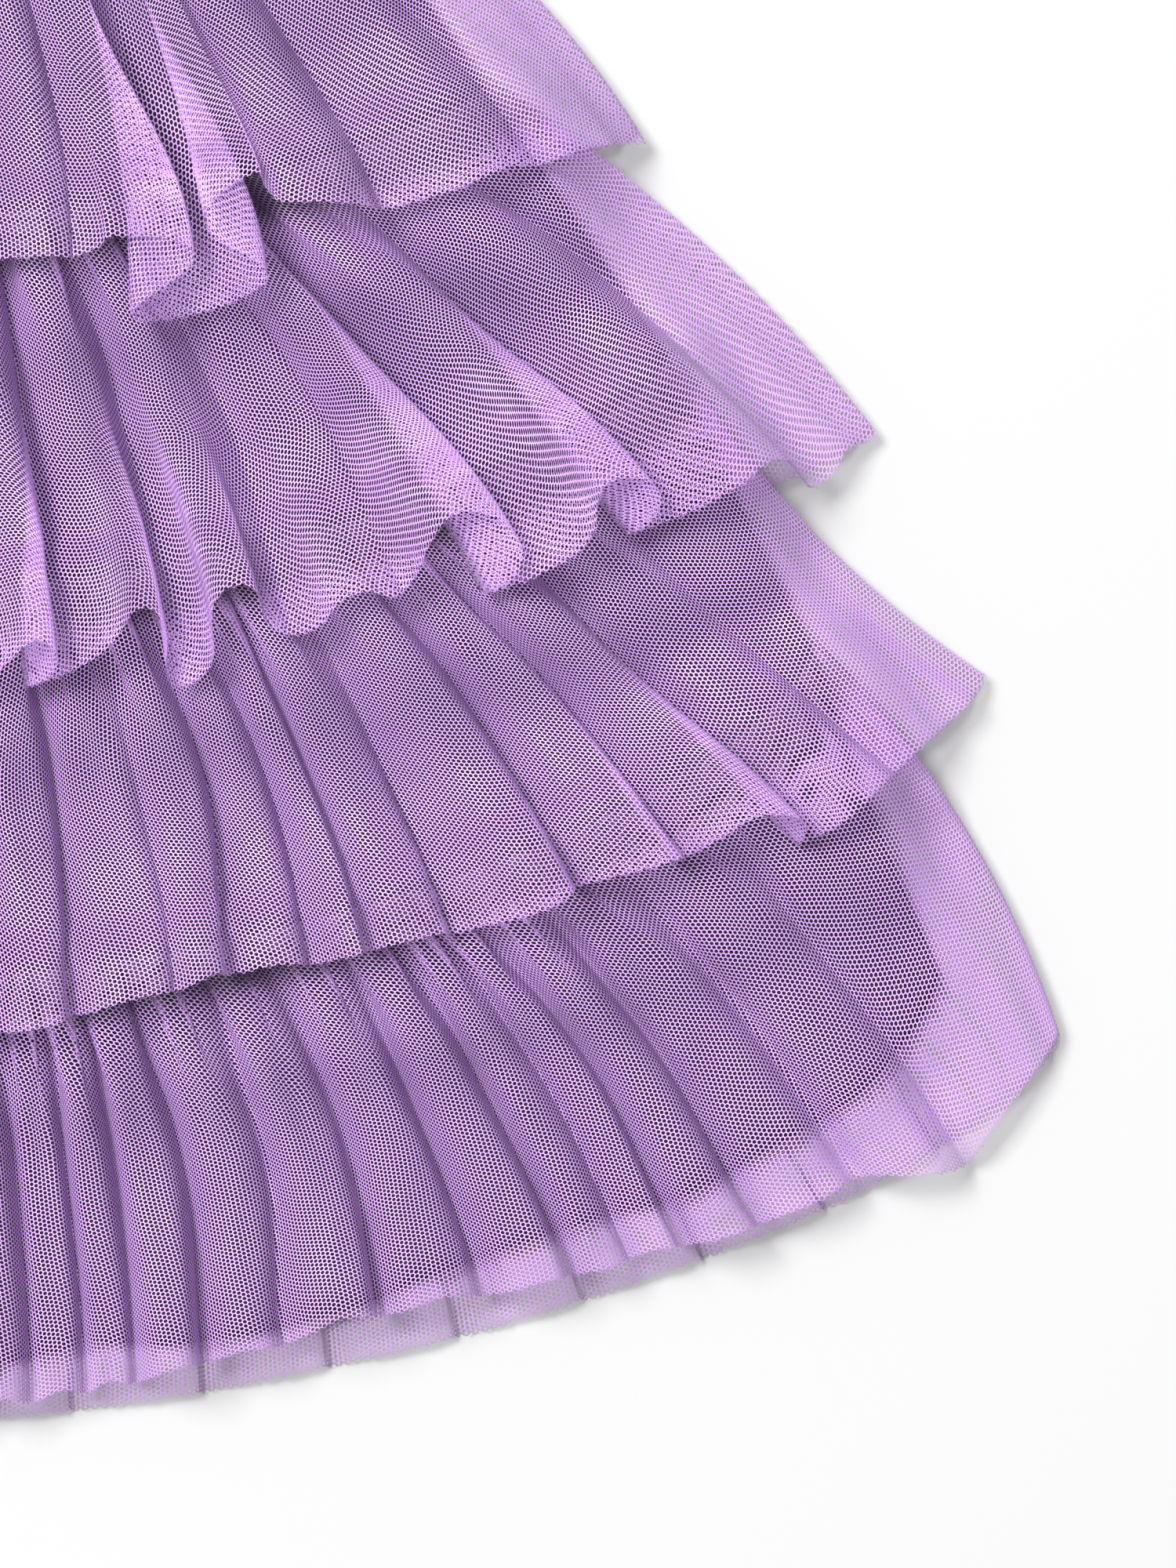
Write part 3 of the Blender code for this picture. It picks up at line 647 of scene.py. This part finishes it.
def add_sheet(name, points, uv, thick, material):
    """A closed thin shell about a grid of points."""
    rows, columns = points.shape[:2]
    across, down = np.gradient(points, axis=1), np.gradient(points, axis=0)
    normal = np.cross(across, down)
    normal = normal / np.maximum(np.linalg.norm(normal, axis=-1, keepdims=True), 1e-9)
    normal = normal * np.sign(normal[..., 2].mean())
    both = np.stack([points + normal * thick / 2, points - normal * thick / 2])
    count = rows * columns
    grid = np.arange(count).reshape(rows, columns)
    a, b, c, d = grid[:-1, :-1], grid[1:, :-1], grid[1:, 1:], grid[:-1, 1:]
    upper = np.stack([a, b, c, d], axis=-1).reshape(-1, 4)
    edge = np.concatenate([grid[0, :], grid[1:, -1], grid[-1, -2::-1], grid[-2:0:-1, 0]])
    after = np.roll(edge, -1)
    rim = np.stack([edge, after, after + count, edge + count], axis=-1)
    faces = np.concatenate([upper, upper[:, ::-1] + count, rim])
    flat = np.concatenate([uv.reshape(-1, 2)] * 2)
    return add_mesh(name, both.reshape(-1, 3), faces, flat, material)


class Nodes:
    """Short ways to add and join shader nodes."""

    def __init__(self, name):
        self.material = bpy.data.materials.new(name)
        self.material.use_nodes = True
        self.tree = self.material.node_tree
        self.tree.nodes.clear()

    def add(self, kind, inputs=None, **settings):
        node = self.tree.nodes.new(kind)
        for key, value in settings.items():
            setattr(node, key, value)
        for key, value in (inputs or {}).items():
            if isinstance(value, bpy.types.NodeSocket):
                self.tree.links.new(value, node.inputs[key])
            else:
                node.inputs[key].default_value = value
        return node

    def math(self, operation, a, b=0.0):
        return self.add("ShaderNodeMath", {0: a, 1: b}, operation=operation).outputs[0]

    def vector(self, operation, a, b=(0.0, 0.0, 0.0)):
        return self.add("ShaderNodeVectorMath", {0: a, 1: b}, operation=operation).outputs

    def scaled(self, colour, share):
        """A colour times a share."""
        node = self.add("ShaderNodeVectorMath", {0: colour}, operation="SCALE")
        self.tree.links.new(share, node.inputs["Scale"])
        return node.outputs[0]

    def uv(self):
        return self.add("ShaderNodeUVMap", uv_map="cloth").outputs[0]

    def noise(self, uv, scale, detail):
        inputs = {"Vector": uv, "Scale": scale, "Detail": detail}
        return self.add("ShaderNodeTexNoise", inputs).outputs[0]

    def patchy(self, colours, cloud):
        """A colour that goes from the first to the second as a cloud does."""
        inputs = {0: cloud, 6: colours[0], 7: colours[1]}
        return self.add("ShaderNodeMix", inputs, data_type="RGBA").outputs[2]

    def surface(self, looks):
        return self.add("ShaderNodeBsdfPrincipled", looks).outputs[0]

    def finish(self, surface):
        self.add("ShaderNodeOutputMaterial", {"Surface": surface})
        return self.material


def net_thread(n, uv):
    """1 on the net's threads and 0 in its holes, which are round, in staggered columns."""
    wide, high = 2 * NET_COLUMN * MM, NET_ROW * MM
    cells = n.vector("MULTIPLY", uv, (1 / wide, 1 / high, 0.0))[0]
    distances = []
    for shift in ((0.5, 0.5, 0.0), (0.0, 0.0, 0.0)):
        moved = n.vector("ADD", cells, shift)[0]
        part = n.vector("FRACTION", moved)[0]
        middle = n.vector("SUBTRACT", part, (0.5, 0.5, 0.0))[0]
        real = n.vector("MULTIPLY", middle, (wide / MM, high / MM, 0.0))[0]
        distances.append(n.vector("LENGTH", real)[1])
    return n.add(
        "ShaderNodeMapRange",
        {
            "Value": n.math("MINIMUM", *distances),
            "From Min": HOLE_RADIUS - HOLE_BLUR,
            "From Max": HOLE_RADIUS + HOLE_BLUR,
        },
    ).outputs[0]


def net_material(name, painted_light, painted_shade):
    """Soft nylon net, cut raw along the hem. Its colour is scaled by painted_light, a painted
    lightening where it shows, and goes to painted_shade, a painted darkening at the gathered edge,
    beneath a hem."""
    n = Nodes(name)
    uv = n.uv()
    along, over_hem = n.add("ShaderNodeSeparateXYZ", {0: uv}).outputs[:2]
    ragged = n.math("MULTIPLY", n.noise(uv, RAGGED_FINE, 0.0), RAGGED_DEEP)
    tooth = n.math("PINGPONG", along, NET_COLUMN * MM / 2)
    kept = n.math("GREATER_THAN", over_hem, n.math("ADD", ragged, tooth))
    mask = n.math("MULTIPLY", net_thread(n, uv), kept)
    # This share scales the lower tiers' colour and what shines through them: a painted lightening
    # where they show, and a painted shade at the gathered edge beneath the hem above.
    painted_light_and_shade = n.add(
        "ShaderNodeMapRange",
        {
            "Value": over_hem,
            "From Min": (STRIP_DROP - NET_PAINTED_SHADE_FROM) * MM,
            "From Max": (STRIP_DROP - NET_PAINTED_SHADE_TO) * MM,
            "To Min": painted_light,
            "To Max": painted_shade,
        },
        interpolation_type="SMOOTHSTEP",
    ).outputs[0]
    colour = n.scaled(n.patchy(NET_COLOURS, n.noise(uv, NET_PATCHES, 1.0)), painted_light_and_shade)
    surface = n.surface({"Base Color": colour, **NET_LIGHT})
    glow = n.scaled(NET_GLOW, painted_light_and_shade)
    through = n.add("ShaderNodeBsdfTranslucent", {"Color": glow}).outputs[0]
    cloth = n.add("ShaderNodeMixShader", {0: NET_THROUGH, 1: surface, 2: through}).outputs[0]
    clear = n.add("ShaderNodeBsdfTransparent").outputs[0]
    return n.finish(n.add("ShaderNodeMixShader", {0: mask, 1: clear, 2: cloth}).outputs[0])


def plain_material(name, colour, roughness):
    n = Nodes(name)
    return n.finish(n.surface({"Base Color": colour, "Roughness": roughness}))


def band_material():
    """Soft ribbed casing over elastic."""
    n = Nodes("lilac_band_cloth")
    uv = n.uv()
    colour = n.patchy(BAND_COLOURS, n.noise(uv, BAND_PATCHES, 4.0))
    weave = n.add("ShaderNodeTexWave", {"Vector": uv, "Scale": BAND_RIBS, "Distortion": 1.0})
    cross = n.add("ShaderNodeTexWave", {"Vector": uv, "Scale": BAND_RIBS}, bands_direction="Y")
    both = n.math("ADD", weave.outputs[1], cross.outputs[1])
    bump = n.add("ShaderNodeBump", {"Strength": 0.35, "Distance": 0.00015, "Height": both})
    looks = {"Base Color": colour, "Roughness": 0.7, "Sheen Weight": 0.3}
    return n.finish(n.surface({**looks, "Normal": bump.outputs[0]}))


def band_ring(half, thick):
    """Points (x, z) round a pressed tube with its middle at z 0, and their outward normals."""
    radius = thick / 2
    straight = half - radius
    share = np.linspace(0.0, 1.0, BAND_AROUND, endpoint=False)
    run = share * (4 * straight + 2 * math.pi * radius)
    top, turn = 2 * straight, math.pi * radius
    x = np.where(run < top, straight - run, 0.0)
    z = np.where(run < top, radius, 0.0)
    nx, nz = np.zeros_like(run), np.where(run < top, 1.0, 0.0)
    left = (run >= top) & (run < top + turn)
    angle = math.pi / 2 + (run - top) / radius
    low = (run >= top + turn) & (run < 2 * top + turn)
    right = run >= 2 * top + turn
    angle = np.where(right, -math.pi / 2 + (run - 2 * top - turn) / radius, angle)
    round_x = np.where(left, -straight, straight) + radius * np.cos(angle)
    x = np.where(left | right, round_x, np.where(low, run - top - turn - straight, x))
    z = np.where(left | right, radius * np.sin(angle), np.where(low, -radius, z))
    nx = np.where(left | right, np.cos(angle), nx)
    nz = np.where(left | right, np.sin(angle), np.where(low, -1.0, nz))
    return x, z, nx, nz, run


def add_band():
    """The casing gathered over its elastic, pressed flat and open at both ends, with stitches."""
    drops = np.linspace(-BAND_DEPTH, -GAP, BAND_DOWN)[:, None]
    x, z, nx, nz, run = band_ring(BAND_HALF, BAND_THICK)
    noise = Noise(BAND_SEED)
    drift = BAND_DRIFT * noise.at(run / BAND_DRIFT_WIDE, drops / BAND_DRIFT_LONG)
    beat = 2 * math.pi * run / BAND_GATHER + drift
    change = BAND_CHANGE * noise.at(run / BAND_CHANGE_WIDE + 40.0, drops / BAND_CHANGE_LONG)
    depth = BAND_GATHER_DEPTH * (1.0 - BAND_CHANGE + change)
    sunk = depth * (0.5 - 0.5 * np.cos(beat))
    for at in BAND_STITCH_DROPS:
        sunk = sunk + STITCH_GROOVE * np.exp(-(((drops - at) / STITCH_GROOVE_WIDE) ** 2))
    outer = np.stack(
        [x - nx * sunk, drops + 0 * x, np.maximum(z - nz * sunk, -BAND_THICK / 2)], axis=-1
    )
    ix, iz = band_ring(BAND_HALF - BAND_WALL, BAND_THICK - 2 * BAND_WALL)[:2]
    inner = np.stack([ix + 0 * drops, drops + 0 * ix, iz + 0 * drops], axis=-1)
    lift = np.array([0.0, 0.0, BAND_THICK / 2])
    points = np.concatenate([outer.reshape(-1, 3), inner.reshape(-1, 3)]) + lift
    count = BAND_AROUND * BAND_DOWN
    grid = np.arange(count).reshape(BAND_DOWN, BAND_AROUND)
    after = np.roll(grid, -1, axis=1)
    skin = np.stack([grid[:-1], after[:-1], after[1:], grid[1:]], axis=-1).reshape(-1, 4)
    ends = [
        np.stack([grid[-1], after[-1], after[-1] + count, grid[-1] + count], axis=-1),
        np.stack([after[0], grid[0], grid[0] + count, after[0] + count], axis=-1),
    ]
    faces = np.concatenate([skin[:, ::-1], skin + count, *(end[:, ::-1] for end in ends)])
    uv = np.stack([run + 0 * drops, drops + 0 * run], axis=-1).reshape(-1, 2)
    cloth = band_material()
    band = add_mesh("band_casing", points, faces, np.concatenate([uv, uv]), cloth)
    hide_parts("waistband")
    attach(band, "root")
    add_stitches()


def add_stitches():
    """Rows of machine stitches along the casing's upper face."""
    corners = np.array([(-1, -1), (1, -1), (1, 1), (-1, 1)])
    points, faces = [], []
    straight = BAND_HALF - BAND_THICK / 2
    for drop in BAND_STITCH_DROPS:
        for at in np.arange(-straight, straight, STITCH_EVERY):
            start = len(points)
            for along, wide, high in STITCH_RINGS:
                x, z = at + along * STITCH_LONG, BAND_THICK - STITCH_SUNK + high
                for side, up in corners:
                    points.append((x, drop + side * wide, z + up * wide))
            last = len(points) - 4
            for ring in range(start, last, 4):
                for k in range(4):
                    after = (k + 1) % 4
                    faces.append((ring + k, ring + after, ring + 4 + after, ring + 4 + k))
            faces.append((start + 3, start + 2, start + 1, start))
            faces.append((last, last + 1, last + 2, last + 3))
    points, faces = np.array(points), np.array(faces)
    thread = plain_material("lilac_thread", THREAD_COLOUR, 0.5)
    made = add_mesh("band_stitches", points, faces[:, ::-1], points[:, :2], thread)
    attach(made, "root")


def lining_material():
    """Fine plain knit of the base skirt, coloured near black, a painted shadow seen through the
    net's holes.
    """
    n = Nodes("lining_painted_shade")
    uv = n.uv()
    # Its near-black colour is painted shade for the net's holes.
    colour = n.patchy(LINING_PAINTED_SHADE_COLOURS, n.noise(uv, LINING_PATCHES, 3.0))
    knit = n.add("ShaderNodeTexWave", {"Vector": uv, "Scale": LINING_KNIT}).outputs[1]
    bump = n.add("ShaderNodeBump", {"Strength": 0.3, "Distance": 0.0002, "Height": knit})
    looks = {"Base Color": colour, "Roughness": 0.85, "Normal": bump.outputs[0]}
    return n.finish(n.surface(looks))


def build_skirt():
    """Lays the pieces on each other from the table up, and adds the waistband."""
    net, lining = net_material("lilac_net_cloth", 1.0, 1.0), lining_material()
    # The lower tiers take a copy of the net with a painted lightening and a painted shade.
    painted_net = net_material("lilac_net_painted_light_and_shade", NET_PAINTED_LIGHT, NET_PAINTED_SHADE)
    pile = Pile()
    seed = SEED
    for tier in TIERS:
        laid = tier._replace(hem_mid=tier.hem_mid + BACK_LONGER)
        add_strip(laid, "back", pile, seed, net)
        seed += SEED_STEP
    for name, below in (("base_back", "tier_4_back"), ("base_front", "base_back")):
        points, uv = base_panel(pile, name)
        piece = add_sheet("cloth_" + name, points, uv, LINING, lining)
        declare(piece, name)
        pile.lay(points)
    for tier in reversed(TIERS):
        add_strip(tier, "front", pile, seed, net if tier is TIERS[0] else painted_net)
        seed += SEED_STEP
    add_band()


def add_strip(tier, side, pile, seed, net):
    points, uv = strip(tier, side, pile, seed)
    pile.lay(points + (0.0, 0.0, CLOTH / 2))
    name = f"{tier.name}_{side}"
    piece = add_sheet("net_" + name, points, uv, CLOTH, net)
    declare(piece, name)


def declare(piece, node):
    """Puts a sheet in its solid's place."""
    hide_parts(node)
    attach(piece, "root")


def add_floor():
    mesh = bpy.data.meshes.new("floor")
    reach = FLOOR_REACH
    corners = [(-reach, -reach, 0), (reach, -reach, 0), (reach, reach, 0), (-reach, reach, 0)]
    mesh.from_pydata(corners, [], [(0, 1, 2, 3)])
    mesh.materials.append(plain_material("white_floor", FLOOR_COLOUR, 0.9))
    floor = bpy.data.objects.new("floor", mesh)
    bpy.context.scene.collection.objects.link(floor)


def add_light():
    """One large soft lamp, high on the upper left."""
    lamp = bpy.data.lights.new("key", "AREA")
    lamp.energy = KEY_POWER
    lamp.size = KEY_SIZE
    made = bpy.data.objects.new("key", lamp)
    bpy.context.scene.collection.objects.link(made)
    made.location = KEY_PLACE
    aim = Vector(KEY_AIM) - Vector(KEY_PLACE)
    made.rotation_euler = aim.to_track_quat("-Z", "Y").to_euler()


def add_camera():
    """A camera straight above the part of the skirt that the photo shows."""
    across = (PHOTO_WIDE / 2 - MIDDLE_PIXEL) * MM_PER_PIXEL
    drop = (PHOTO_HIGH / 2 - SEAM_PIXEL) * MM_PER_PIXEL
    high = PHOTO_HIGH * MM_PER_PIXEL * MM
    data = bpy.data.cameras.new("camera")
    data.sensor_fit = "VERTICAL"
    data.sensor_height = SENSOR_HIGH
    data.lens = SENSOR_HIGH * (CAMERA_HIGH - SKIRT_HIGH) / high
    camera = bpy.data.objects.new("camera", data)
    camera.location = ((MID_X + across) * MM, (SEAM_Y - drop) * MM, CAMERA_HIGH)
    bpy.context.scene.collection.objects.link(camera)
    bpy.context.scene.camera = camera


def add_world():
    world = bpy.data.worlds.new("studio")
    world.use_nodes = True
    sky = world.node_tree.nodes["Background"]
    sky.inputs[0].default_value = WHITE
    sky.inputs[1].default_value = SKY_STRENGTH
    bpy.context.scene.world = world


scene = bpy.context.scene
scene.view_settings.view_transform = "Standard"

# Light passes many holes of the net on its way, and few bounces between its layers are enough.
scene.cycles.transparent_max_bounces = 12
scene.cycles.max_bounces = 3
scene.cycles.diffuse_bounces = 2
scene.cycles.glossy_bounces = 1

build_skirt()
add_floor()
add_world()
add_light()
add_camera()
